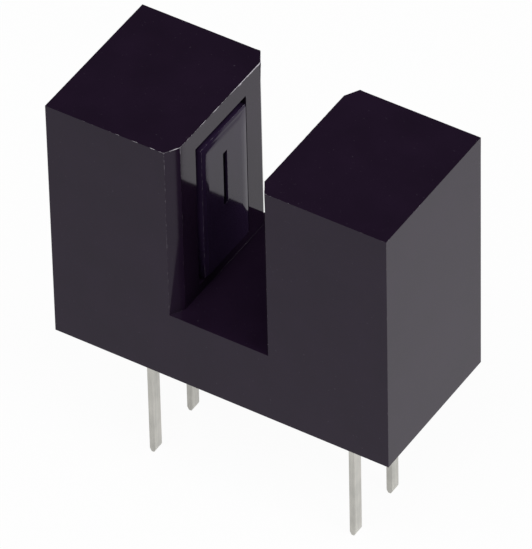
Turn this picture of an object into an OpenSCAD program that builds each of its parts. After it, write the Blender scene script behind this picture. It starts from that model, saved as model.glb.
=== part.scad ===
// Slotted optical switch for a printed circuit board.
// An emitter in one tower shines through a slit and across the slot to a sensor in the other tower,
// and whatever passes through the slot breaks the beam.
// All sizes are in millimetres. The origin is the middle of the housing's underside, which sits on
// the board. X runs across the slot from the emitter's tower to the sensor's, and Z points up.

/* [Housing] */
// Length of the housing across both towers
housing_length = 13.97; // [13.8:0.01:16.5]
// Width of the housing from front to back
housing_width = 6.35; // [6:0.01:8]
// Height of the tower tops above the board
housing_height = 10.67; // [10.2:0.01:14]
// Thickness of each tower's front, back and end walls
outer_wall = 0.9; // [0.5:0.05:1]
// Thickness of each tower's roof
roof = 0.82; // [0.6:0.01:1.2]
// Radius of the upright corners inside each tower
cavity_corner = 0.3; // [0.1:0.05:0.6]

/* [Slot] */
// Width of the slot between its walls
slot_width = 3.47; // [3.2:0.01:3.6]
// Height of the slot's floor above the board
slot_floor = 3.02; // [2.6:0.01:4]
// Thickness of the wall between slot and tower
slot_wall = 0.67; // [0.6:0.01:0.8]
// How far the lead-in chamfer on each upright slot edge cuts into the tower's front or back face
lead_in_face = 0.325; // [0.1:0.005:0.6]
// How far the lead-in chamfer runs along the slot wall
lead_in_wall = 0.54; // [0.1:0.01:0.8]

/* [Aperture shells] */
// Clear gap between the two aperture faces, which stand a little proud of the slot walls
aperture_gap = 3.18; // [2.8:0.01:3.4]
// Width of the aperture face that stands in each window
face_width = 2.92; // [2.4:0.01:3]
// Gap between the aperture face and the edges of its window
face_gap = 0.21; // [0.1:0.01:0.35]
// Width of the eased border of the aperture face, at its sides and its top
face_ease = 0.4; // [0.2:0.01:0.6]
// How far the sides of the aperture face bend away from the slot
side_drop = 0.035; // [0.01:0.005:0.06]
// How far the top of the aperture face bends away from the slot
brow_drop = 0.07; // [0.01:0.005:0.1]
// Height of the window's sill above the slot's floor
window_sill = 0.43; // [0.2:0.01:1]
// Width of the slit
slit_width = 0.27; // [0.15:0.01:0.6]
// Height of the slit
slit_height = 2.4; // [1:0.05:2.6]
// Height of the optical axis above the board
axis_height = 7.35; // [6.6:0.05:7.6]
// Thickness of the plate that the slit goes through
slit_plate = 0.35; // [0.2:0.05:0.5]
// Thickness of the shell's walls
shell_wall = 0.4; // [0.3:0.05:0.45]
// Depth of the shell behind its slot wall
shell_depth = 2.8; // [2.6:0.05:2.85]
// Room around the shell in its tower
shell_clearance = 0.05; // [0.03:0.01:0.15]

/* [Packages] */
// Room around the package in its shell
package_clearance = 0.05; // [0.02:0.01:0.1]
// Radius of the lens dome
lens_radius = 0.8; // [0.6:0.05:0.85]
// How far the lens dome stands out of the package
lens_rise = 0.6; // [0.3:0.05:0.6]
// Room around the lens, to the sides and past its tip
lens_room = 0.15; // [0.1:0.01:0.2]

/* [Lead frames] */
// Thickness of the stamped leads
lead_thickness = 0.25; // [0.15:0.01:0.3]
// Width of the stamped leads
lead_width = 0.46; // [0.3:0.01:0.5]
// Distance between the two leads of a pair
lead_pitch = 2.54; // [2.4:0.01:2.6]
// Length of the leads below the housing
lead_length = 6; // [2:0.1:12]
// Distance of the emitter's lead frame behind the inner face of its slot wall
emitter_frame_depth = 1.7; // [1.5:0.05:2.1]
// Distance of the sensor's lead frame behind the inner face of its slot wall
sensor_frame_depth = 2; // [1.5:0.05:2.1]
// Width of the bevels on a lead's tip
tip_bevel = 0.07; // [0:0.01:0.07]
// Height of the bevels on a lead's tip
tip_taper = 0.14; // [0.05:0.01:0.4]
// Side of the square paddle that carries a chip
paddle = 1.1; // [0.9:0.05:1.15]
// Height of the arm between a lead and its paddle
arm_height = 0.7; // [0.4:0.05:0.9]
// Width of the post that takes the bond wire
post_width = 0.6; // [0.5:0.05:0.65]
// Height of the post that takes the bond wire
post_height = 0.8; // [0.5:0.05:1.2]

/* [Chips and wires] */
// Side of the emitter chip
emitter_die_side = 0.36; // [0.3:0.02:0.6]
// Side of the sensor chip
sensor_die_side = 0.8; // [0.5:0.02:0.9]
// Thickness of the chips
die_thickness = 0.2; // [0.1:0.01:0.3]
// Diameter of the bond wires
wire_diameter = 0.04; // [0.02:0.01:0.06]
// Diameter of the ball that joins a wire to its chip
ball_diameter = 0.1; // [0.07:0.01:0.14]
// Height of that ball
ball_height = 0.04; // [0.02:0.01:0.06]

/* [Back-fill] */
// Depth of the back-fill's surface inside the housing's underside
backfill_recess = 0.15; // [0.05:0.05:0.5]
// Thickness of the back-fill
backfill_thickness = 1.85; // [1:0.05:2]

/* [Hidden] */
$fn = 64;
// How far a cutter runs past the face that it cuts
past = 0.5;

// Inside of a tower, on the side of positive X
cavity_start = slot_width / 2 + slot_wall;
cavity_end = housing_length / 2 - outer_wall;
cavity_half = housing_width / 2 - outer_wall;
cavity_top = housing_height - roof;

// Window, and the aperture face that stands in it
window_half = face_width / 2 + face_gap;
window_bottom = slot_floor + window_sill;
face_start = aperture_gap / 2;
face_bottom = window_bottom + face_gap;
face_top = cavity_top - face_gap;

// Shell, and the package inside it
shell_bottom = backfill_recess + backfill_thickness;
shell_top = cavity_top - shell_clearance;
shell_half = cavity_half - shell_clearance;
shell_end = cavity_start + shell_depth;
package_start = cavity_start + shell_wall;
package_end = shell_end - shell_wall - package_clearance;
package_half = shell_half - shell_wall - package_clearance;
package_top = shell_top - shell_wall - package_clearance;

// Lead frames
emitter_frame = cavity_start + emitter_frame_depth;
sensor_frame = cavity_start + sensor_frame_depth;
lead_edge = (lead_pitch + lead_width) / 2;
post_middle = lead_edge - post_width / 2;

plastic_black = "#262229";
shell_black = "#2c292f";
epoxy_clear = "#cdd6e2";
epoxy_smoked = "#3b3038";
tin = "#bdbab0";
silicon = "#6a6f78";
gold = "#d9b24c";
fill_black = "#1a191c";

// Everything inside a tower is drawn on the side of positive X, and turned over for the emitter
module emitter_side() mirror([1, 0, 0]) children();

// Rectangle from one X to another, centred on Y, with round corners
module rounded_plan(start, end, half, corner) {
    translate([start + corner, -half]) square([end - start - 2 * corner, 2 * half]);
    translate([start, corner - half]) square([end - start, 2 * (half - corner)]);
    for (x = [start + corner, end - corner], y = [corner - half, half - corner])
        translate([x, y]) circle(corner);
}

// Upright prism of that plan between two heights
module rounded_block(start, end, half, corner, bottom, top) {
    translate([0, 0, bottom])
        linear_extrude(top - bottom) rounded_plan(start, end, half, corner);
}

// Slot, through from front to back
module slot_cutter() {
    translate([-slot_width / 2, -housing_width / 2 - past, slot_floor])
        cube([slot_width, housing_width + 2 * past, housing_height - slot_floor + past]);
}

// Lead-in chamfer on the slot edge at positive X and Y
module lead_in_cutter() {
    wall = slot_width / 2;
    front = housing_width / 2;
    translate([0, 0, slot_floor])
        linear_extrude(housing_height - slot_floor + past)
            polygon([
                [0, front - lead_in_wall], [wall, front - lead_in_wall],
                [wall + lead_in_face, front], [wall + lead_in_face, front + past],
                [0, front + past]
            ]);
}

module window_cutter() {
    translate([0, -window_half, window_bottom])
        cube([cavity_start + cavity_corner, 2 * window_half, cavity_top - window_bottom]);
}

module cavity_cutter() {
    rounded_block(cavity_start, cavity_end, cavity_half, cavity_corner, -past, cavity_top);
}

// What easing takes off a border that runs along positive Y from the origin and drops towards positive X
module ease(drop) {
    radius = (pow(face_ease, 2) + pow(drop, 2)) / (2 * drop);
    difference() {
        translate([-past, 0]) square([past + drop, face_ease + past]);
        translate([radius, 0]) circle(radius);
    }
}

// Block behind the aperture face, which bends away from the slot at its sides and its top
module aperture_block() {
    difference() {
        translate([0, 0, face_bottom])
            linear_extrude(face_top - face_bottom)
                difference() {
                    translate([face_start, -face_width / 2])
                        square([package_start - face_start, face_width]);
                    for (turn = [0, 1]) mirror([0, turn])
                        translate([face_start, face_width / 2 - face_ease]) ease(side_drop);
                }
        translate([face_start, 0, face_top - face_ease])
            rotate([90, 0, 0])
                linear_extrude(face_width + 2 * past, center = true) ease(brow_drop);
    }
}

// Shell that slides up into a tower. Its aperture face stands in the window
module shell() {
    lens_half = lens_radius + lens_room;
    well_half = max(lens_half, slit_height / 2 + lens_room);
    difference() {
        union() {
            rounded_block(cavity_start, shell_end, shell_half, cavity_corner, shell_bottom, shell_top);
            aperture_block();
        }
        // Room for the package, open below
        translate([package_start, -package_half - package_clearance, shell_bottom - past])
            cube([
                package_end + package_clearance - package_start,
                2 * (package_half + package_clearance),
                package_top + package_clearance - shell_bottom + past
            ]);
        // Well behind the slit for the lens
        translate([face_start + slit_plate, -lens_half, axis_height - well_half])
            cube([package_end - face_start - slit_plate, 2 * lens_half, 2 * well_half]);
        // Slit
        translate([face_start - past, -slit_width / 2, axis_height - slit_height / 2])
            cube([slit_plate + 2 * past, slit_width, slit_height]);
    }
}

// Straight leg of a lead, from its bevelled tip up to a height
module leg(frame, y, top) {
    half = lead_thickness / 2;
    translate([frame, y + lead_width / 2, 0])
        rotate([90, 0, 0])
            linear_extrude(lead_width)
                polygon([
                    [-half, top], [-half, tip_taper - lead_length],
                    [tip_bevel - half, -lead_length], [half - tip_bevel, -lead_length],
                    [half, tip_taper - lead_length], [half, top]
                ]);
}

// Stamped rectangle in the plane of a lead frame, between two corners in Y and Z
module stamping(frame, low, high) {
    translate([frame - lead_thickness / 2, low[0], low[1]])
        cube([lead_thickness, high[0] - low[0], high[1] - low[1]]);
}

// Lead that carries the chip on a paddle
module chip_lead(frame) {
    arm_low = axis_height - arm_height / 2;
    arm_high = axis_height + arm_height / 2;
    leg(frame, -lead_pitch / 2, arm_high);
    stamping(frame, [-lead_edge, arm_low], [0, arm_high]);
    stamping(
        frame,
        [-paddle / 2, axis_height - paddle / 2],
        [paddle / 2, axis_height + paddle / 2]
    );
}

// Lead that takes the bond wire on a post
module post_lead(frame) {
    post_top = axis_height + post_height / 2;
    leg(frame, lead_pitch / 2, post_top);
    stamping(frame, [lead_edge - post_width, axis_height - post_height / 2], [lead_edge, post_top]);
}

// Chip on the slot side of its paddle
module die(frame, side) {
    translate([frame - lead_thickness / 2 - die_thickness, -side / 2, axis_height - side / 2])
        cube([die_thickness, side, side]);
}

// Bond wire: a ball on the chip, a half-round loop, and a straight end down to the post
module bond_wire(frame) {
    frame_face = frame - lead_thickness / 2;
    chip_face = frame_face - die_thickness;
    loop_start = chip_face - ball_height;
    loop_radius = post_middle / 2;
    translate([loop_start, 0, axis_height])
        rotate([0, 90, 0]) cylinder(d = ball_diameter, h = ball_height);
    translate([loop_start, loop_radius, axis_height])
        rotate([0, 0, 90])
            rotate_extrude(angle = 180) translate([loop_radius, 0]) circle(d = wire_diameter);
    translate([loop_start, post_middle, axis_height])
        rotate([0, 90, 0]) cylinder(d = wire_diameter, h = frame_face - loop_start);
}

// Epoxy body with its lens dome, moulded around the lead frame, the chip and the wire
module package(frame, die_side) {
    difference() {
        union() {
            translate([package_start, -package_half, shell_bottom])
                cube([package_end - package_start, 2 * package_half, package_top - shell_bottom]);
            translate([package_start + lens_radius - lens_rise, 0, axis_height])
                sphere(lens_radius);
        }
        chip_lead(frame);
        post_lead(frame);
        die(frame, die_side);
        bond_wire(frame);
    }
}

// Epoxy that closes a tower from below, around the leads
module backfill(frame) {
    difference() {
        rounded_block(
            cavity_start, cavity_end, cavity_half, cavity_corner, backfill_recess, shell_bottom
        );
        chip_lead(frame);
        post_lead(frame);
    }
}

module housing() {
    color(plastic_black)
        difference() {
            translate([-housing_length / 2, -housing_width / 2, 0])
                cube([housing_length, housing_width, housing_height]);
            slot_cutter();
            for (turn_x = [0, 1]) mirror([turn_x, 0, 0]) {
                cavity_cutter();
                window_cutter();
                for (turn_y = [0, 1]) mirror([0, turn_y, 0]) lead_in_cutter();
            }
        }
}

module emitter_shell() color(shell_black) emitter_side() shell();
module emitter_package() color(epoxy_clear) emitter_side() package(emitter_frame, emitter_die_side);
module emitter_die() color(silicon) emitter_side() die(emitter_frame, emitter_die_side);
module emitter_bond_wire() color(gold) emitter_side() bond_wire(emitter_frame);
module emitter_cathode_lead() color(tin) emitter_side() chip_lead(emitter_frame);
module emitter_anode_lead() color(tin) emitter_side() post_lead(emitter_frame);
module emitter_backfill() color(fill_black) emitter_side() backfill(emitter_frame);

module sensor_shell() color(shell_black) shell();
module sensor_package() color(epoxy_smoked) package(sensor_frame, sensor_die_side);
module sensor_die() color(silicon) die(sensor_frame, sensor_die_side);
module sensor_bond_wire() color(gold) bond_wire(sensor_frame);
module sensor_collector_lead() color(tin) chip_lead(sensor_frame);
module sensor_emitter_lead() color(tin) post_lead(sensor_frame);
module sensor_backfill() color(fill_black) backfill(sensor_frame);

housing();
emitter_shell();
emitter_package();
emitter_die();
emitter_bond_wire();
emitter_cathode_lead();
emitter_anode_lead();
emitter_backfill();
sensor_shell();
sensor_package();
sensor_die();
sensor_bond_wire();
sensor_collector_lead();
sensor_emitter_lead();
sensor_backfill();
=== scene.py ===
# %% [markdown]
# A slotted optical switch for a circuit board. Two black towers stand on one base, an infrared
# emitter looks across the slot from one of them to a light sensor in the other, and four tinned leads
# go down into the board.
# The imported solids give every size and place. This file gives them edges, finishes, light and a view.

# %% Load the solids
import math

import bmesh
import bpy
from mathutils import Matrix, Vector


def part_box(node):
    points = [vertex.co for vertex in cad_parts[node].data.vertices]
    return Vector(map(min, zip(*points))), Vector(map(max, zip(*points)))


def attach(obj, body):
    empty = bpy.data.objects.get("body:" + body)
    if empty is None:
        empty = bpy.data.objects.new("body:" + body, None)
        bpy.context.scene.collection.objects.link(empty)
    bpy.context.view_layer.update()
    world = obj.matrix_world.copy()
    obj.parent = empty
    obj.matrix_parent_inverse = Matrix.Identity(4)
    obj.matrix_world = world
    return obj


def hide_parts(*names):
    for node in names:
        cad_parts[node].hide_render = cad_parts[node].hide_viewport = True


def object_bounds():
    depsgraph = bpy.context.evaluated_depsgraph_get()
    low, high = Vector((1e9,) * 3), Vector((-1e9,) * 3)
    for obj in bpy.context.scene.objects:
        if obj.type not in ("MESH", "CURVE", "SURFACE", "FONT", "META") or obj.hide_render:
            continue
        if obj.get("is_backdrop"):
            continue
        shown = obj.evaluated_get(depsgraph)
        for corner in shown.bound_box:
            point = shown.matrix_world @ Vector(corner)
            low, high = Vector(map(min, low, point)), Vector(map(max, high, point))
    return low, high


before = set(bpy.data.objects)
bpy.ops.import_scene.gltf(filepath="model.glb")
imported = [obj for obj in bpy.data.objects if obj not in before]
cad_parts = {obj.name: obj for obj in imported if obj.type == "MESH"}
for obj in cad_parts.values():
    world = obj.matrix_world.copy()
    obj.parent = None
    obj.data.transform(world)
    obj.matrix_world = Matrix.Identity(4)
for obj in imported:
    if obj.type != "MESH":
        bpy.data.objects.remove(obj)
cad_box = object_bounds()
MM = 0.001
SEED = 7
print("nodes:", ", ".join(sorted(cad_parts)))

# %% [markdown]
# The camera comes first, because it settles what shows. The viewing angle was solved from the
# housing's straight edges: a long lens, about 33 degrees to the right of the front and 42 above it.
# A camera could be aimed with a Track To constraint, but that can't hold the small roll, so its three
# directions are worked out and written into its matrix.

# %% Place the camera
IMAGE_SIZE = (532, 549)
FOCAL_PIXELS = 8431.0
SENSOR_SIDE = 36.0
NEAREST_SEEN = 10 * MM
AZIMUTH = math.radians(32.79)
ELEVATION = math.radians(42.34)
ROLL = math.radians(1.35)
CAMERA_DISTANCE = 301.43 * MM
# The point that the camera looks at lies this far right of and above the origin, in the picture's plane
AIM_RIGHT = -0.057 * MM
AIM_UP = 2.548 * MM

back = Vector((
    math.sin(AZIMUTH) * math.cos(ELEVATION),
    -math.cos(AZIMUTH) * math.cos(ELEVATION),
    math.sin(ELEVATION),
))
level_right = (-back).cross(Vector((0, 0, 1))).normalized()
level_up = back.cross(level_right)
right = level_right * math.cos(ROLL) - level_up * math.sin(ROLL)
up = level_right * math.sin(ROLL) + level_up * math.cos(ROLL)
place = right * AIM_RIGHT + up * AIM_UP + back * CAMERA_DISTANCE

camera_data = bpy.data.cameras.new("camera")
camera_data.sensor_width = SENSOR_SIDE
camera_data.lens = FOCAL_PIXELS * SENSOR_SIDE / max(IMAGE_SIZE)
camera_data.clip_start = NEAREST_SEEN
camera = bpy.data.objects.new("camera", camera_data)
camera.matrix_world = Matrix((
    (right.x, up.x, back.x, place.x),
    (right.y, up.y, back.y, place.y),
    (right.z, up.z, back.z, place.z),
    (0, 0, 0, 1),
))
bpy.context.scene.collection.objects.link(camera)
bpy.context.scene.camera = camera
print("lens", round(camera_data.lens, 1), "mm, camera at", [round(v / MM, 1) for v in place], "mm")

# %% [markdown]
# Two helpers serve every finish. Colours are written as they look on a screen, in hex, and Blender
# works in linear light, so one function turns one into the other. The other adds a node to any node
# tree, with its settings, its values and its links in one line.
# A Mix node has the same socket names for numbers and for colours, so its sockets go by number.

# %% Helpers for colours and nodes
FACTOR = 0
NUMBER_A = 2
NUMBER_B = 3
COLOUR_A = 6
COLOUR_B = 7
MIXED_NUMBER = 0
MIXED_COLOUR = 2


def linear(hex_colour):
    """Linear RGBA of a screen colour such as "#1a141d"."""
    parts = [int(hex_colour[i:i + 2], 16) / 255 for i in (1, 3, 5)]
    return [p / 12.92 if p <= 0.04045 else ((p + 0.055) / 1.055) ** 2.4 for p in parts] + [1.0]


def add(tree, kind, inputs=None, **settings):
    """A new node with its settings. An input takes a value, or a socket to link from."""
    node = tree.nodes.new(kind)
    for name, value in settings.items():
        setattr(node, name, value)
    for key, value in (inputs or {}).items():
        if isinstance(value, bpy.types.NodeSocket):
            tree.links.new(value, node.inputs[key])
        else:
            node.inputs[key].default_value = value
    return node


def new_material(name):
    """A material with an empty tree, and that tree."""
    material = bpy.data.materials.new(name)
    material.use_nodes = True
    material.node_tree.nodes.clear()
    return material, material.node_tree


print("a screen grey of #808080 is", round(linear("#808080")[0], 3), "in linear light")

# %% [markdown]
# The floor is a plain white sheet that the lead tips stand on. A camera that is exposed for a black
# part shows such a sheet as pure white, so rays from the camera see it mostly as white light. Rays from
# glossy surfaces see it partly so, and partly as a lit sheet with the part's soft shadow on it, because
# that shadow is what darkens the slot wall towards the front.

# %% Make the floor
FLOOR_REACH = 1.5
SEEN_WHITE = 0.96
MIRRORED_WHITE = 0.6
floor_z = cad_box[0][2]
corners = []
for x, y in ((-1, -1), (1, -1), (1, 1), (-1, 1)):
    corners.append((x * FLOOR_REACH, y * FLOOR_REACH, floor_z))
floor_mesh = bpy.data.meshes.new("floor")
floor_mesh.from_pydata(corners, [], [(0, 1, 2, 3)])
floor = bpy.data.objects.new("floor", floor_mesh)
bpy.context.scene.collection.objects.link(floor)

paper, tree = new_material("white paper sheet")
ray = add(tree, "ShaderNodeLightPath").outputs
bounced = add(tree, "ShaderNodeMath", {0: ray["Is Glossy Ray"], 1: ray["Is Transmission Ray"]},
              operation="MAXIMUM")
mirrored = add(tree, "ShaderNodeMath", {0: bounced.outputs[0], 1: MIRRORED_WHITE}, operation="MULTIPLY")
seen = add(tree, "ShaderNodeMath", {0: ray["Is Camera Ray"], 1: SEEN_WHITE}, operation="MULTIPLY")
share = add(tree, "ShaderNodeMath", {0: seen.outputs[0], 1: mirrored.outputs[0]}, operation="MAXIMUM")
sheet = add(tree, "ShaderNodeBsdfDiffuse", {"Color": linear("#f2f2f2")})
white = add(tree, "ShaderNodeEmission", {"Color": linear("#ffffff"), "Strength": 1.0})
mixed = add(tree, "ShaderNodeMixShader", {0: share.outputs[0], 1: sheet.outputs[0], 2: white.outputs[0]})
add(tree, "ShaderNodeOutputMaterial", {"Surface": mixed.outputs[0]})
paper.cycles.emission_sampling = "NONE"
floor_mesh.materials.append(paper)
floor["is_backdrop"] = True
print("floor at", round(floor_z / MM, 2), "mm")

# %% [markdown]
# Black glossy plastic shows its surroundings more than its own colour, so the lamps are placed by what
# the faces mirror. The tops and the slot's floor mirror the upper left behind the part, which stays
# dim. The edges along the slot mirror the low right behind it, where a broad softbox stands. A lamp on
# the right lights the sheet beside the right leads, which mirror it.
# A sheet that faces all the lamps together reads about as its own colour, so each lamp is given a share
# of that level, and its power follows from its distance.

# %% Light the scene
WORLD_LEVEL = 0.06


def softbox(name, direction, distance, side, level):
    """A square lamp that faces the part. It gives a sheet that faces it that share of a plain level."""
    lamp = bpy.data.lights.new(name, "AREA")
    lamp.shape = "SQUARE"
    lamp.size = side
    lamp.energy = level * math.pi ** 2 * distance ** 2
    toward = Vector(direction).normalized()
    obj = bpy.data.objects.new(name, lamp)
    obj.matrix_world = toward.to_track_quat("Z", "Y").to_matrix().to_4x4()
    obj.matrix_world.translation = toward * distance
    bpy.context.scene.collection.objects.link(obj)
    print(f"{name}: {lamp.energy:.2f} W at {distance} m")


softbox("softbox behind right", (0.80, 0.60, 0.18), distance=0.5, side=0.20, level=0.35)
softbox("softbox above front", (0.10, -0.45, 0.88), distance=0.6, side=0.40, level=0.65)
softbox("softbox on the right", (0.72, -0.10, 0.68), distance=0.6, side=0.25, level=0.30)
world = bpy.data.worlds.new("dim studio")
world.use_nodes = True
studio = world.node_tree.nodes["Background"].inputs
studio["Color"].default_value = linear("#f4f2f8")
studio["Strength"].default_value = WORLD_LEVEL
bpy.context.scene.world = world
bpy.context.scene.view_settings.view_transform = "Standard"

# %% [markdown]
# The housing is injection-moulded plastic with a deep violet-black dye, which keeps stray light out.
# The mould is polished, so the faces are mirror-like, with a slight cloudiness in the dye, a faint
# unevenness and a little fine dust. Where an edge was rubbed or broken, the plastic turns pale and dull,
# and the same pale colour is painted along the edges that catch the light, as a painted highlight.
# An image could carry this, but noise in the part's own millimetres works on every side of it, and an
# attribute says how far each edge is worn and how much highlight is painted on it.

# %% Housing plastic
CLOUD_SIZE = 1.6 * MM
GRAIN_SIZE = 0.25 * MM
GRAIN_HEIGHT = 0.01 * MM
GRAIN_STRENGTH = 0.03
CHIP_AND_GLINT_SIZE = 0.16 * MM
# Real dust is finer. These specks are as coarse as they need to be to show.
SPECK_SIZE = 0.09 * MM
# Noise lies mostly near 0.5. A speck, and a pale patch where wear and painted highlight are added, fades
# in between these values.
SPECK_FROM = 0.74
SPECK_TO = 0.86
CHIP_AND_GLINT_FROM = 0.82
CHIP_AND_GLINT_TO = 1.0
GLOSS_SPREAD = 0.02
WORN_ROUGHNESS = 0.45
PLASTIC_IOR = 1.5
PLASTIC_SPECULAR = 0.21


def moulded_plastic(name, deep, pale, gloss):
    """Dyed plastic from a polished mould: cloudy dye, uneven gloss, fine dust, and pale edges that are
    partly worn and partly a painted highlight.
    """
    material, tree = new_material(name)
    place = add(tree, "ShaderNodeTexCoord").outputs["Object"]
    clouds = add(tree, "ShaderNodeTexNoise", {"Vector": place, "Scale": 1 / CLOUD_SIZE, "Detail": 3.0})
    dye = add(tree, "ShaderNodeMix", {
        FACTOR: clouds.outputs["Fac"], COLOUR_A: linear(deep), COLOUR_B: linear(pale),
    }, data_type="RGBA")
    specks = add(tree, "ShaderNodeTexNoise", {"Vector": place, "Scale": 1 / SPECK_SIZE, "Detail": 1.0})
    dust = add(tree, "ShaderNodeMapRange", {
        "Value": specks.outputs["Fac"], "From Min": SPECK_FROM, "From Max": SPECK_TO,
    })
    dusty = add(tree, "ShaderNodeMix", {
        FACTOR: dust.outputs[0], COLOUR_A: dye.outputs[MIXED_COLOUR], COLOUR_B: linear("#403945"),
    }, data_type="RGBA")
    # The pale colour below is partly wear and partly a painted highlight on the edges.
    chip_and_glint_noise = add(tree, "ShaderNodeTexNoise", {"Vector": place, "Scale": 1 / CHIP_AND_GLINT_SIZE, "Detail": 2.0})
    wear = add(tree, "ShaderNodeAttribute", attribute_name="wear").outputs["Fac"]
    rubbed_and_highlit = add(tree, "ShaderNodeMath", {0: wear, 1: chip_and_glint_noise.outputs["Fac"]}, operation="ADD")
    bare_and_highlit = add(tree, "ShaderNodeMapRange", {
        "Value": rubbed_and_highlit.outputs[0], "From Min": CHIP_AND_GLINT_FROM, "From Max": CHIP_AND_GLINT_TO,
    })
    # Painted highlight and wear: the edge turns pale here.
    colour = add(tree, "ShaderNodeMix", {
        FACTOR: bare_and_highlit.outputs[0], COLOUR_A: dusty.outputs[MIXED_COLOUR], COLOUR_B: linear("#cfcad2"),
    }, data_type="RGBA")
    grain = add(tree, "ShaderNodeTexNoise", {"Vector": place, "Scale": 1 / GRAIN_SIZE, "Detail": 2.0})
    polish = add(tree, "ShaderNodeMapRange", {
        "Value": grain.outputs["Fac"], "To Min": gloss - GLOSS_SPREAD, "To Max": gloss + GLOSS_SPREAD,
    })
    finish = add(tree, "ShaderNodeMix", {
        FACTOR: bare_and_highlit.outputs[0], NUMBER_A: polish.outputs[0], NUMBER_B: WORN_ROUGHNESS,
    })
    ripple = add(tree, "ShaderNodeBump", {
        "Height": grain.outputs["Fac"], "Strength": GRAIN_STRENGTH, "Distance": GRAIN_HEIGHT,
    })
    shader = add(tree, "ShaderNodeBsdfPrincipled", {
        "Base Color": colour.outputs[MIXED_COLOUR], "Roughness": finish.outputs[MIXED_NUMBER],
        "IOR": PLASTIC_IOR, "Specular IOR Level": PLASTIC_SPECULAR, "Specular Tint": linear("#f3eaff"),
        "Normal": ripple.outputs[0],
    })
    add(tree, "ShaderNodeOutputMaterial", {"Surface": shader.outputs[0]})
    return material


housing_plastic = moulded_plastic("dyed polycarbonate, injection moulded", "#1a101f", "#24172a", 0.07)
shell_plastic = moulded_plastic("black polycarbonate, injection moulded", "#22172d", "#2e213b", 0.09)
print("plastics:", housing_plastic.name, "and", shell_plastic.name)

# %% [markdown]
# A real moulding has no perfectly sharp edge, so each piece starts as a copy of its solid whose edges
# can be rounded. A modifier could work on the solid's mesh directly, but that is made of loose
# triangles. The copy's are merged, each flat becomes one face, and a flat with a hole is cut along
# straight lines, so that a rounding runs evenly round every corner. The work is done in millimetres,
# because Blender's own tolerances are too coarse for a part this small in metres.

# %% Copy a solid and cut it
FLAT = math.radians(0.5)
TOUCHING = 0.0005
SQUARE = 0.9999
DECIMALS = 3


def solid_in_mm(node):
    """A merged copy of a CAD solid's mesh, in millimetres, with one face for each flat."""
    work = bmesh.new()
    work.from_mesh(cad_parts[node].data)
    bmesh.ops.scale(work, vec=Vector((1, 1, 1)) / MM, verts=work.verts)
    bmesh.ops.remove_doubles(work, verts=work.verts, dist=TOUCHING)
    bmesh.ops.dissolve_limit(work, angle_limit=FLAT, verts=work.verts, edges=work.edges)
    return work


def cut(work, axis, value):
    """Cuts every face that a plane crosses. The plane lies across an axis, at a value on it."""
    normal = Vector((axis == 0, axis == 1, axis == 2))
    everything = work.verts[:] + work.edges[:] + work.faces[:]
    bmesh.ops.bisect_plane(work, geom=everything, dist=TOUCHING, plane_co=normal * value, plane_no=normal)


def square_up(work):
    """Cuts the flats along the planes of the others, then drops the slanting lines left in them."""
    planes = set()
    for face in work.faces:
        for axis in range(3):
            if abs(face.normal[axis]) > SQUARE:
                planes.add((axis, round(face.calc_center_median()[axis], DECIMALS)))
    for axis, value in sorted(planes):
        cut(work, axis, value)
    slants = []
    for edge in work.edges:
        along = (edge.verts[1].co - edge.verts[0].co).normalized()
        if edge.calc_face_angle(1) < FLAT and max(abs(part) for part in along) < SQUARE:
            slants.append(edge)
    bmesh.ops.dissolve_edges(work, edges=slants)


print("points nearer than", TOUCHING, "mm are merged")

# %% [markdown]
# It is the narrow rounding of an edge that catches the light. A Bevel modifier could make it too, but
# the bevel of a work mesh also says which faces are new. Those are marked, and the middle of each
# rounding can then carry a number, such as how worn the edge is there and how much highlight is painted
# on it.

# %% Round the edges
SHARP = math.radians(25)
ROUND_STEPS = 3
ROUND_PROFILE = 0.5


def sharp_edges(work, reach=math.inf):
    """The sharp edges whose points lie no further than a reach from the slot's middle plane."""
    sharp = [edge for edge in work.edges if edge.calc_face_angle(0) > SHARP]
    return [edge for edge in sharp if max(abs(vert.co.x) for vert in edge.verts) < reach]


def round_edges(work, radius, reach=math.inf):
    """Rounds the sharp edges to a radius, and marks the new faces as roundings."""
    mark = work.faces.layers.int.new("rounding")
    made = bmesh.ops.bevel(
        work, geom=sharp_edges(work, reach), offset=radius, segments=ROUND_STEPS, profile=ROUND_PROFILE,
        affect="EDGES", offset_type="OFFSET", clamp_overlap=True, loop_slide=True,
    )
    for face in made["faces"]:
        face[mark] = 1


def mark_crests(work, label, amount):
    """Gives the middle of each rounding a number, by the point's place. It fades out at the flats."""
    mark = work.faces.layers.int["rounding"]
    crest = work.verts.layers.float.new(label)
    for vert in work.verts:
        if all(face[mark] for face in vert.link_faces):
            vert[crest] = amount(vert.co)


print("edges sharper than", round(math.degrees(SHARP)), "degrees are rounded")

# %% [markdown]
# A finished piece is a plain mesh in metres that is smooth all over. Smooth shading alone would bend
# the reflections on the flats, which a polished moulding shows straight. A Weighted Normal modifier
# could mend that, but it also lets small flats pull at large ones, so each point takes the normal of
# the largest flat beside it.

# %% Finish a piece
MUCH_LARGER = 3


def new_piece(work, name):
    """Turns a work mesh into an object in metres, smooth all over."""
    bmesh.ops.scale(work, vec=Vector((1, 1, 1)) * MM, verts=work.verts)
    mesh = bpy.data.meshes.new(name)
    work.to_mesh(mesh)
    work.free()
    mesh.shade_smooth()
    piece = bpy.data.objects.new(name, mesh)
    bpy.context.scene.collection.objects.link(piece)
    return piece


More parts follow.
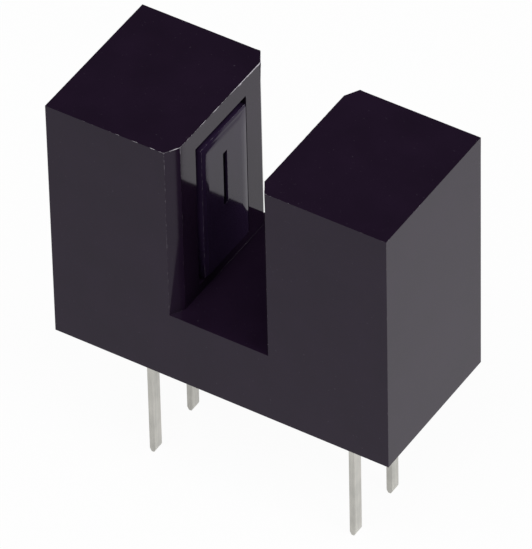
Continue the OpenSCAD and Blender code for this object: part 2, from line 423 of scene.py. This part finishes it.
def keep_flats(piece):
    """Gives each point the normal of the largest flat beside it, so that only roundings bend light."""
    mesh = piece.data
    mark = mesh.attributes["rounding"].data
    planes = []
    areas = {}
    for face in mesh.polygons:
        offset = face.normal.dot(face.center) / MM
        plane = tuple(round(part, DECIMALS) for part in (*face.normal, offset))
        planes.append(plane)
        areas[plane] = areas.get(plane, 0) + face.area
    flats = [{} for _ in mesh.vertices]
    bends = [{} for _ in mesh.vertices]
    for face in mesh.polygons:
        beside = bends if mark[face.index].value else flats
        plane = planes[face.index]
        for index in face.vertices:
            beside[index][plane] = face.normal * areas[plane]
    normals = []
    for flat, bend in zip(flats, bends):
        pulls = list((flat or bend).values())
        least = max(pull.length for pull in pulls) / MUCH_LARGER
        normals.append(sum((pull for pull in pulls if pull.length > least), Vector()).normalized())
    mesh.normals_split_custom_set_from_vertices(normals)
    mesh.attributes.remove(mesh.attributes["rounding"])


def stand_in(piece, node):
    """Puts a finished piece in the place of a CAD node."""
    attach(piece, "root")
    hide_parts(node)
    triangles = sum(len(face.vertices) - 2 for face in piece.data.polygons)
    print(f"{piece.name}: stands for {node}, {triangles} triangles")


print("a flat that is", MUCH_LARGER, "times larger than its neighbour keeps its own normal")

# %% [markdown]
# Some shapes follow a rule, and Geometry Nodes keep such a rule open to change. Each tree gets named
# inputs for its sizes. The modifier is then settled into a plain mesh, because a part in a library
# shouldn't depend on a live tree.

# %% Helpers for Geometry Nodes
def geometry_tree(name, inputs):
    """A tree with a geometry input and named inputs. Returns it, its inputs and their identifiers."""
    tree = bpy.data.node_groups.new(name, "GeometryNodeTree")
    tree.interface.new_socket("Geometry", in_out="INPUT", socket_type="NodeSocketGeometry")
    tree.interface.new_socket("Geometry", in_out="OUTPUT", socket_type="NodeSocketGeometry")
    identifiers = {}
    for label, kind in inputs.items():
        socket = tree.interface.new_socket(label, in_out="INPUT", socket_type=kind)
        identifiers[label] = socket.identifier
    return tree, tree.nodes.new("NodeGroupInput").outputs, identifiers


def end_tree(tree, geometry, material):
    """Every tree ends in real geometry with its material set."""
    real = add(tree, "GeometryNodeRealizeInstances", {"Geometry": geometry})
    painted = add(tree, "GeometryNodeSetMaterial", {"Geometry": real.outputs[0], "Material": material})
    add(tree, "NodeGroupOutput", {"Geometry": painted.outputs[0]})


def grow(piece, tree, identifiers, values):
    """Runs a tree on a piece, with a value for each input, and keeps the plain mesh that it makes."""
    modifier = piece.modifiers.new(tree.name, "NODES")
    modifier.node_group = tree
    for label, value in values.items():
        modifier[identifiers[label]] = value
    bpy.context.view_layer.update()
    graph = bpy.context.evaluated_depsgraph_get()
    mesh = bpy.data.meshes.new_from_object(piece.evaluated_get(graph), depsgraph=graph)
    piece.modifiers.clear()
    piece.data = mesh
    mesh.name = piece.name


print("trees end in Realize Instances and Set Material")

# %% [markdown]
# Where the two halves of a mould meet, plastic creeps into the joint and breaks off again. On this part
# the joint runs along the rims of the tower tops: the rim beside the slot is ragged and pale, partly worn
# and partly with a painted highlight, and the other rims have small nicks.
# The rim's edges are split into short lengths before they are rounded, and the crest of the rounding is
# marked. Noise then pushes the crest out, as far as its mark says.

# %% Tree for the ragged rims
BURR_FROM = 0.15
BURR_TO = 0.6
rim_tree, given, RIM_INPUTS = geometry_tree("ragged rim", {
    "Depth": "NodeSocketFloat", "Grain": "NodeSocketFloat", "Seed": "NodeSocketInt",
    "Material": "NodeSocketMaterial",
})
crest = add(rim_tree, "GeometryNodeInputNamedAttribute", {"Name": "burr"}, data_type="FLOAT")
place = add(rim_tree, "GeometryNodeInputPosition").outputs[0]
fineness = add(rim_tree, "ShaderNodeMath", {0: 1.0, 1: given["Grain"]}, operation="DIVIDE")
noise = add(rim_tree, "ShaderNodeTexNoise", {
    "Vector": place, "W": given["Seed"], "Scale": fineness.outputs[0], "Detail": 2.0,
}, noise_dimensions="4D")
burr = add(rim_tree, "ShaderNodeMapRange", {
    "Value": noise.outputs["Fac"], "From Min": BURR_FROM, "From Max": BURR_TO,
})
share = add(rim_tree, "ShaderNodeMath", {0: burr.outputs[0], 1: crest.outputs[0]}, operation="MULTIPLY")
push = add(rim_tree, "ShaderNodeMath", {0: share.outputs[0], 1: given["Depth"]}, operation="MULTIPLY")
outwards = add(rim_tree, "GeometryNodeInputNormal").outputs[0]
offset = add(rim_tree, "ShaderNodeVectorMath", {0: outwards, "Scale": push.outputs[0]}, operation="SCALE")
moved = add(rim_tree, "GeometryNodeSetPosition", {
    "Geometry": given["Geometry"], "Offset": offset.outputs[0],
})
end_tree(rim_tree, moved.outputs[0], given["Material"])
print("ragged rim:", ", ".join(RIM_INPUTS))

# %% [markdown]
# A moulding wears at its edges, and most where hands and vanes rub past: at the rims of the tower tops,
# along the slot and at its mouths. The pale colour given to these edges is partly that wear and partly a
# painted highlight, for the light that the rims and the mouths of the slot catch. Wear could be painted
# by hand, but here it follows from where an edge lies, with a few scuffed and brightly painted stretches
# of rim by their places.

# %% Wear and painted highlights of the housing's edges
# Each amount makes an edge pale: partly wear, partly a painted highlight.
SLOT_WEAR_AND_HIGHLIGHT = 0.36
RIM_WEAR_AND_HIGHLIGHT = 0.21
LEAD_IN_WEAR_AND_HIGHLIGHT = 0.34
EDGE_WEAR_AND_HIGHLIGHT = 0.22
# The outer edges of the lead-ins lie this near the middle in X, and this far from it in Y
SLOT_SIDE = 2.2
SLOT_MOUTH = 3.0
# Scuffed stretches of rim, painted pale as wear and as a highlight: X and Y of the middle, reach along
# the rim, and how worn and how brightly painted the middle is
SCUFFS_AND_HIGHLIGHTS = (
    (-1.74, 1.8, 1.1, 1.4), (-1.74, -0.3, 0.35, 0.7), (-1.74, -1.15, 0.35, 0.65),
    (-1.86, -2.8, 0.25, 1.0), (-2.19, -3.15, 0.1, 0.6), (-2.53, -3.15, 0.12, 0.75),
    (-3.25, -3.15, 0.2, 0.48), (-3.96, -3.15, 0.1, 0.52),
)
NEAR_MIDDLE = 0.1
HOUSING_ROUND = 0.06
# A rim's rounding ends a little less than its radius below the top
RIM_SHARE = 0.95

work = solid_in_mm("housing")
square_up(work)
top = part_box("housing")[1].z / MM
rim_low = top - RIM_SHARE * HOUSING_ROUND
upward = [face.calc_center_median() for face in work.faces if face.normal.z > SQUARE]
slot_floor = max(centre.z for centre in upward if abs(centre.x) < NEAR_MIDDLE)


def rim_wear_and_highlight(place):
    """How worn a top rim is at a place, with its painted highlight: more beside the slot, and most where
    it is scuffed.
    """
    wear = SLOT_WEAR_AND_HIGHLIGHT if abs(place.x) < SLOT_SIDE else RIM_WEAR_AND_HIGHLIGHT
    for x, y, reach, most in SCUFFS_AND_HIGHLIGHTS:
        away = math.hypot(place.x - x, place.y - y) / reach
        wear = max(wear, most * math.exp(-away ** 2))
    return wear


def edge_wear_and_highlight(place):
    """How worn an edge is, with its painted highlight: as a rim at the tops, and below them more at the
    mouths of the slot.
    """
    if place.z > rim_low:
        return rim_wear_and_highlight(place)
    at_mouth = abs(place.x) < SLOT_SIDE and abs(place.y) > SLOT_MOUTH and place.z > slot_floor
    return LEAD_IN_WEAR_AND_HIGHLIGHT if at_mouth else EDGE_WEAR_AND_HIGHLIGHT


def edge_burr(place):
    """How far an edge is pushed out: nothing below the rims, and most where a rim is scuffed."""
    return min(1.0, rim_wear_and_highlight(place) ** 2) if place.z > rim_low else 0.0


print("top at", round(top, 2), "mm and slot floor at", round(slot_floor, 2), "mm")

# %% [markdown]
# The housing is the largest piece: a block with a slot, a window in each slot wall and a hollow in each
# tower. It could be modelled again from boxes, but its solid is already exact, so the piece is that
# solid with rounded edges and ragged rims.

# %% Housing
RIM_STEP = 0.08
RIM_DEPTH = 0.09
RIM_GRAIN = 0.2


def split_evenly(edge, step):
    """Splits an edge into equal lengths, without cutting the faces beside it."""
    start = edge.verts[0]
    count = max(1, round(edge.calc_length() / step))
    for left in range(count, 1, -1):
        _, start_next = bmesh.utils.edge_split(edge, start, 1 / left)
        edge = next(e for e in start_next.link_edges if start not in e.verts)
        start = start_next


rim = [e for e in sharp_edges(work) if min(v.co.z for v in e.verts) > top - TOUCHING]
for edge in rim:
    split_evenly(edge, RIM_STEP)
round_edges(work, HOUSING_ROUND)
mark_crests(work, "burr", edge_burr)
mark_crests(work, "wear", edge_wear_and_highlight)
housing = new_piece(work, "housing_body")
grow(housing, rim_tree, RIM_INPUTS, {
    "Depth": RIM_DEPTH * MM, "Grain": RIM_GRAIN * MM, "Seed": SEED, "Material": housing_plastic,
})
keep_flats(housing)
stand_in(housing, "housing")

# %% [markdown]
# In each tower sits an opaque shell that carries the optics. Its face stands in the window, a little
# proud of the slot wall, with a fine upright slit through it. All of its edges could be rounded, but
# only those near the slot show, since the rest is closed in. The rounded edges of the face are pale,
# partly as wear and partly as a painted highlight.

# %% Aperture shells
FACE_ROUND = 0.045
FACE_REACH = 1.9
FACE_WEAR_AND_HIGHLIGHT = 0.36
for side in ("emitter", "sensor"):
    work = solid_in_mm(side + "_shell")
    square_up(work)
    round_edges(work, FACE_ROUND, FACE_REACH)
    # The face's rounded edges get pale wear and a painted highlight.
    mark_crests(work, "wear", lambda place: FACE_WEAR_AND_HIGHLIGHT)
    shell = new_piece(work, side + "_aperture_shell")
    shell.data.materials.append(shell_plastic)
    keep_flats(shell)
    stand_in(shell, side + "_shell")

# %% [markdown]
# The leads are stamped from thin strip and then plated with tin. The die leaves fine lines along the
# lead. The broad faces were rolled smooth and the narrow ones sheared, and the narrow ones are also
# darker with painted shade. Two materials could show that, but an attribute lets one finish fade into
# the other.

# %% Tin plating
# Real lines from the rolls and the die are finer. These are as coarse as they need to be to show.
LINE_SIZE = 0.045 * MM
LINE_STRETCH = 0.03
LINE_HEIGHT = 0.01 * MM
LINE_STRENGTH = 0.25
STAIN_SIZE = 0.7 * MM
STAIN_SHARE = 0.5
TONE_FROM = 0.35
TONE_TO = 0.65


def plated_tin(name):
    """Bright tin over a stamped strip: metal with fine lines along Z, and darker where it was sheared,
    partly as a duller sheared finish and partly as painted shade.
    """
    material, tree = new_material(name)
    place = add(tree, "ShaderNodeTexCoord").outputs["Object"]
    along = add(tree, "ShaderNodeMapping", {"Vector": place, "Scale": (1.0, 1.0, LINE_STRETCH)})
    lines = add(tree, "ShaderNodeTexNoise", {
        "Vector": along.outputs[0], "Scale": 1 / LINE_SIZE, "Detail": 2.0,
    })
    stains = add(tree, "ShaderNodeTexNoise", {"Vector": place, "Scale": 1 / STAIN_SIZE, "Detail": 3.0})
    blend = add(tree, "ShaderNodeMix", {
        FACTOR: STAIN_SHARE, NUMBER_A: lines.outputs["Fac"], NUMBER_B: stains.outputs["Fac"],
    })
    tone = add(tree, "ShaderNodeMapRange", {
        "Value": blend.outputs[MIXED_NUMBER], "From Min": TONE_FROM, "From Max": TONE_TO,
    })
    rolled = add(tree, "ShaderNodeMix", {
        FACTOR: tone.outputs[0], COLOUR_A: linear("#c5c4be"), COLOUR_B: linear("#dbd9d2"),
    }, data_type="RGBA")
    # Sheared faces are darker: partly a sheared finish, partly painted shade.
    sheared = add(tree, "ShaderNodeAttribute", attribute_name="sheared").outputs["Fac"]
    colour = add(tree, "ShaderNodeMix", {
        FACTOR: sheared, COLOUR_A: rolled.outputs[MIXED_COLOUR], COLOUR_B: linear("#e9e9e9"),
    }, data_type="RGBA", blend_type="MULTIPLY")
    dulling = add(tree, "ShaderNodeMapRange", {
        "Value": lines.outputs["Fac"], "To Min": 0.28, "To Max": 0.44,
    })
    drawn = add(tree, "ShaderNodeBump", {
        "Height": lines.outputs["Fac"], "Strength": LINE_STRENGTH, "Distance": LINE_HEIGHT,
    })
    shader = add(tree, "ShaderNodeBsdfPrincipled", {
        "Base Color": colour.outputs[MIXED_COLOUR], "Metallic": 1.0, "Roughness": dulling.outputs[0],
        "Normal": drawn.outputs[0],
    })
    add(tree, "ShaderNodeOutputMaterial", {"Surface": shader.outputs[0]})
    return material


tin = plated_tin("copper alloy strip, stamped and tin plated")
print("plating:", tin.name)

# %% [markdown]
# Two legs hang from each tower. The plating is thickest along the edges, which makes them round. A
# profile along a curve could make a leg too, but the solids also have the paddle and the post inside
# the package, so the legs are those solids with rounded edges. A face that points along Y was sheared,
# and is darkened with painted shade.

# %% Leads
LEAD_ROUND = 0.025
LEADS = {
    "emitter": ("emitter_cathode_lead", "emitter_anode_lead"),
    "sensor": ("sensor_collector_lead", "sensor_emitter_lead"),
}
for node in LEADS["emitter"] + LEADS["sensor"]:
    work = solid_in_mm(node)
    round_edges(work, LEAD_ROUND)
    # Faces along Y are sheared, and are darkened with painted shade.
    sheared = work.faces.layers.float.new("sheared")
    for face in work.faces:
        face[sheared] = face.normal.y ** 2
    lead = new_piece(work, node.replace("_lead", "_leg"))
    lead.data.materials.append(tin)
    keep_flats(lead)
    stand_in(lead, node)

# %% [markdown]
# Each tower is closed from below with black epoxy, which is filled with fine mineral grains. They make
# it nearly matt and slightly gritty. A plain rough black would look like rubber, so noise at the size
# of the grains varies the colour, the roughness and the height together.

# %% Poured epoxy
# Real grains are finer. These are as coarse as they need to be to show.
FILLER_SIZE = 0.15 * MM
FILLER_HEIGHT = 0.02 * MM
FILLER_STRENGTH = 0.3
FILL_IOR = 1.55


def poured_epoxy(name):
    """Filled black epoxy, poured and cured: nearly matt, with fine grains of filler."""
    material, tree = new_material(name)
    place = add(tree, "ShaderNodeTexCoord").outputs["Object"]
    filler = add(tree, "ShaderNodeTexNoise", {"Vector": place, "Scale": 1 / FILLER_SIZE, "Detail": 3.0})
    colour = add(tree, "ShaderNodeMix", {
        FACTOR: filler.outputs["Fac"], COLOUR_A: linear("#0d0d0f"), COLOUR_B: linear("#242327"),
    }, data_type="RGBA")
    sheen = add(tree, "ShaderNodeMapRange", {
        "Value": filler.outputs["Fac"], "To Min": 0.3, "To Max": 0.5,
    })
    grit = add(tree, "ShaderNodeBump", {
        "Height": filler.outputs["Fac"], "Strength": FILLER_STRENGTH, "Distance": FILLER_HEIGHT,
    })
    shader = add(tree, "ShaderNodeBsdfPrincipled", {
        "Base Color": colour.outputs[MIXED_COLOUR], "Roughness": sheen.outputs[0], "IOR": FILL_IOR,
        "Normal": grit.outputs[0],
    })
    add(tree, "ShaderNodeOutputMaterial", {"Surface": shader.outputs[0]})
    return material


fill_epoxy = poured_epoxy("black epoxy, poured and cured")
print("fill:", fill_epoxy.name)

# %% [markdown]
# The epoxy was poured as a liquid, so its surface creeps along the walls and the leads that it touches.
# A flat solid can't show that, and moving its points by hand would fit only one tower, so a tree moves
# the open surface by its distance from whatever it touches.

# %% Tree for the poured surface
# The creep falls to this share of its height over each reach
FADE = math.exp(-1)
fill_tree, given, FILL_INPUTS = geometry_tree("poured surface", {
    "Level": "NodeSocketFloat", "Creep": "NodeSocketFloat", "Reach": "NodeSocketFloat",
    "Housing": "NodeSocketObject", "Lead A": "NodeSocketObject", "Lead B": "NodeSocketObject",
    "Material": "NodeSocketMaterial",
})
touched = fill_tree.nodes.new("GeometryNodeJoinGeometry")
for label in ("Housing", "Lead A", "Lead B"):
    shape = add(fill_tree, "GeometryNodeObjectInfo", {"Object": given[label]},
                transform_space="RELATIVE")
    fill_tree.links.new(shape.outputs["Geometry"], touched.inputs[0])
nearest = add(fill_tree, "GeometryNodeProximity", {0: touched.outputs[0]}, target_element="FACES")
steps = add(fill_tree, "ShaderNodeMath", {0: nearest.outputs["Distance"], 1: given["Reach"]},
            operation="DIVIDE")
fade = add(fill_tree, "ShaderNodeMath", {0: FADE, 1: steps.outputs[0]}, operation="POWER")
creep = add(fill_tree, "ShaderNodeMath", {0: fade.outputs[0], 1: given["Creep"]}, operation="MULTIPLY")
down = add(fill_tree, "ShaderNodeMath", {0: creep.outputs[0], 1: -1.0}, operation="MULTIPLY")
offset = add(fill_tree, "ShaderNodeCombineXYZ", {"Z": down.outputs[0]})
place = add(fill_tree, "GeometryNodeInputPosition").outputs[0]
height = add(fill_tree, "ShaderNodeSeparateXYZ", {0: place}).outputs["Z"]
surface = add(fill_tree, "FunctionNodeCompare", {0: height, 1: given["Level"]}, data_type="FLOAT",
              operation="LESS_THAN")
moved = add(fill_tree, "GeometryNodeSetPosition", {
    "Geometry": given["Geometry"], "Selection": surface.outputs[0], "Offset": offset.outputs[0],
})
end_tree(fill_tree, moved.outputs[0], given["Material"])
print("poured surface:", ", ".join(FILL_INPUTS))

# %% [markdown]
# The two fills are cut into small squares first, so that the tree has points to move. A Subdivide Mesh
# node could do that, but its squares follow the outline of each flat. Straight cuts at even steps keep
# them all of one size.

# %% Back-fills
FILL_STEP = 0.16
FILL_CREEP = 0.11
FILL_REACH = 0.22
# Points up to this far above the lowest ones are on the open surface
FILL_SKIN = 0.01
for side, pair in LEADS.items():
    node = side + "_backfill"
    low, high = [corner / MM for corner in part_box(node)]
    work = solid_in_mm(node)
    for axis in (0, 1):
        count = round((high[axis] - low[axis]) / FILL_STEP)
        for i in range(1, count):
            cut(work, axis, low[axis] + (high[axis] - low[axis]) * i / count)
    fill = new_piece(work, side + "_epoxy_fill")
    grow(fill, fill_tree, FILL_INPUTS, {
        "Level": (low.z + FILL_SKIN) * MM, "Creep": FILL_CREEP * MM, "Reach": FILL_REACH * MM,
        "Housing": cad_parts["housing"],
        "Lead A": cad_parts[pair[0]], "Lead B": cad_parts[pair[1]],
        "Material": fill_epoxy,
    })
    fill.data.set_sharp_from_angle(angle=SHARP)
    stand_in(fill, node)

# %% [markdown]
# Inside the shells sit the epoxy packages with their lenses. The emitter's is clear, and the sensor's
# is smoked, to hold back daylight. A glass shader would do for a drinking glass, but moulded epoxy has
# faint clouds from the way it flowed into the mould, and its polish follows them.

# %% Optical epoxy
FLOW_SIZE = 0.8 * MM
EPOXY_IOR = 1.54


def cast_epoxy(name, tint, cloud):
    """Transfer-moulded optical epoxy: clear or smoked, with faint flow clouds and a fine mould finish."""
    material, tree = new_material(name)
    place = add(tree, "ShaderNodeTexCoord").outputs["Object"]
    flow = add(tree, "ShaderNodeTexNoise", {"Vector": place, "Scale": 1 / FLOW_SIZE, "Detail": 2.0})
    colour = add(tree, "ShaderNodeMix", {
        FACTOR: flow.outputs["Fac"], COLOUR_A: linear(tint), COLOUR_B: linear(cloud),
    }, data_type="RGBA")
    finish = add(tree, "ShaderNodeMapRange", {
        "Value": flow.outputs["Fac"], "To Min": 0.05, "To Max": 0.14,
    })
    shader = add(tree, "ShaderNodeBsdfPrincipled", {
        "Base Color": colour.outputs[MIXED_COLOUR], "Roughness": finish.outputs[0], "IOR": EPOXY_IOR,
        "Transmission Weight": 1.0,
    })
    add(tree, "ShaderNodeOutputMaterial", {"Surface": shader.outputs[0]})
    return material


clear_epoxy = cast_epoxy("clear epoxy, transfer moulded", "#dfe6ee", "#eef2f6")
smoked_epoxy = cast_epoxy("smoked epoxy, transfer moulded", "#3a2c33", "#4a3b42")
print("packages:", clear_epoxy.name, "and", smoked_epoxy.name)

# %% [markdown]
# Each package holds a chip, cut from a polished wafer with a fine saw, and a gold wire, drawn through a
# die. A flat grey and a flat yellow would show neither, so bands follow the saw's passes, and a fine
# noise breaks up the shine of the wire.

# %% Chips and wires
# A Wave texture has about three bands in each of these, so the saw's passes are 0.02 mm apart
SAW_UNIT = 0.06 * MM
DRAWN_SIZE = 0.02 * MM


def polished_chip(name, body, band):
    """A sawn chip: half metallic, polished, with a paler and duller band at each pass of the saw."""
    material, tree = new_material(name)
    place = add(tree, "ShaderNodeTexCoord").outputs["Object"]
    saw = add(tree, "ShaderNodeTexWave", {"Vector": place, "Scale": 1 / SAW_UNIT, "Distortion": 1.0},
              bands_direction="Z")
    colour = add(tree, "ShaderNodeMix", {
        FACTOR: saw.outputs["Fac"], COLOUR_A: linear(body), COLOUR_B: linear(band),
    }, data_type="RGBA")
    finish = add(tree, "ShaderNodeMapRange", {
        "Value": saw.outputs["Fac"], "To Min": 0.12, "To Max": 0.3,
    })
    shader = add(tree, "ShaderNodeBsdfPrincipled", {
        "Base Color": colour.outputs[MIXED_COLOUR], "Roughness": finish.outputs[0], "Metallic": 0.4,
    })
    add(tree, "ShaderNodeOutputMaterial", {"Surface": shader.outputs[0]})
    return material


def drawn_gold(name):
    """Gold wire, drawn bright: metal with fine marks from the drawing die."""
    material, tree = new_material(name)
    place = add(tree, "ShaderNodeTexCoord").outputs["Object"]
    marks = add(tree, "ShaderNodeTexNoise", {"Vector": place, "Scale": 1 / DRAWN_SIZE, "Detail": 1.0})
    colour = add(tree, "ShaderNodeMix", {
        FACTOR: marks.outputs["Fac"], COLOUR_A: linear("#d8a83c"), COLOUR_B: linear("#f0c968"),
    }, data_type="RGBA")
    finish = add(tree, "ShaderNodeMapRange", {
        "Value": marks.outputs["Fac"], "To Min": 0.15, "To Max": 0.3,
    })
    shader = add(tree, "ShaderNodeBsdfPrincipled", {
        "Base Color": colour.outputs[MIXED_COLOUR], "Metallic": 1.0, "Roughness": finish.outputs[0],
    })
    add(tree, "ShaderNodeOutputMaterial", {"Surface": shader.outputs[0]})
    return material


gold = drawn_gold("gold wire, drawn")
emitter_chip = polished_chip("gallium arsenide, sawn and polished", "#4a4d52", "#8c8f94")
sensor_chip = polished_chip("silicon, sawn and polished", "#3c434e", "#707986")
print("chips and wires:", emitter_chip.name, "and", sensor_chip.name, "and", gold.name)

# %% [markdown]
# The packages, chips and wires are closed in, and their solids are right as they are. New pieces could
# replace them, but nothing would be gained, so they stay and only get their finishes.

# %% Packages, chips and wires
FINISHES = {
    "emitter_package": clear_epoxy,
    "sensor_package": smoked_epoxy,
    "emitter_die": emitter_chip,
    "sensor_die": sensor_chip,
    "emitter_bond_wire": gold,
    "sensor_bond_wire": gold,
}
for node, finish in FINISHES.items():
    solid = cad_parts[node].data
    solid.materials.clear()
    solid.materials.append(finish)
    print(f"{node}: {finish.name}")

# %% [markdown]
# The box of the finished model is set against the box of the solids, and the largest change is printed,
# to show how little it grew.

# %% Sizes and finish
bpy.context.view_layer.update()
visual_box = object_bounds()
growth = max(abs(a - b) for c, v in zip(cad_box, visual_box) for a, b in zip(c, v))
print("largest change of the box:", round(growth / MM, 3), "mm")
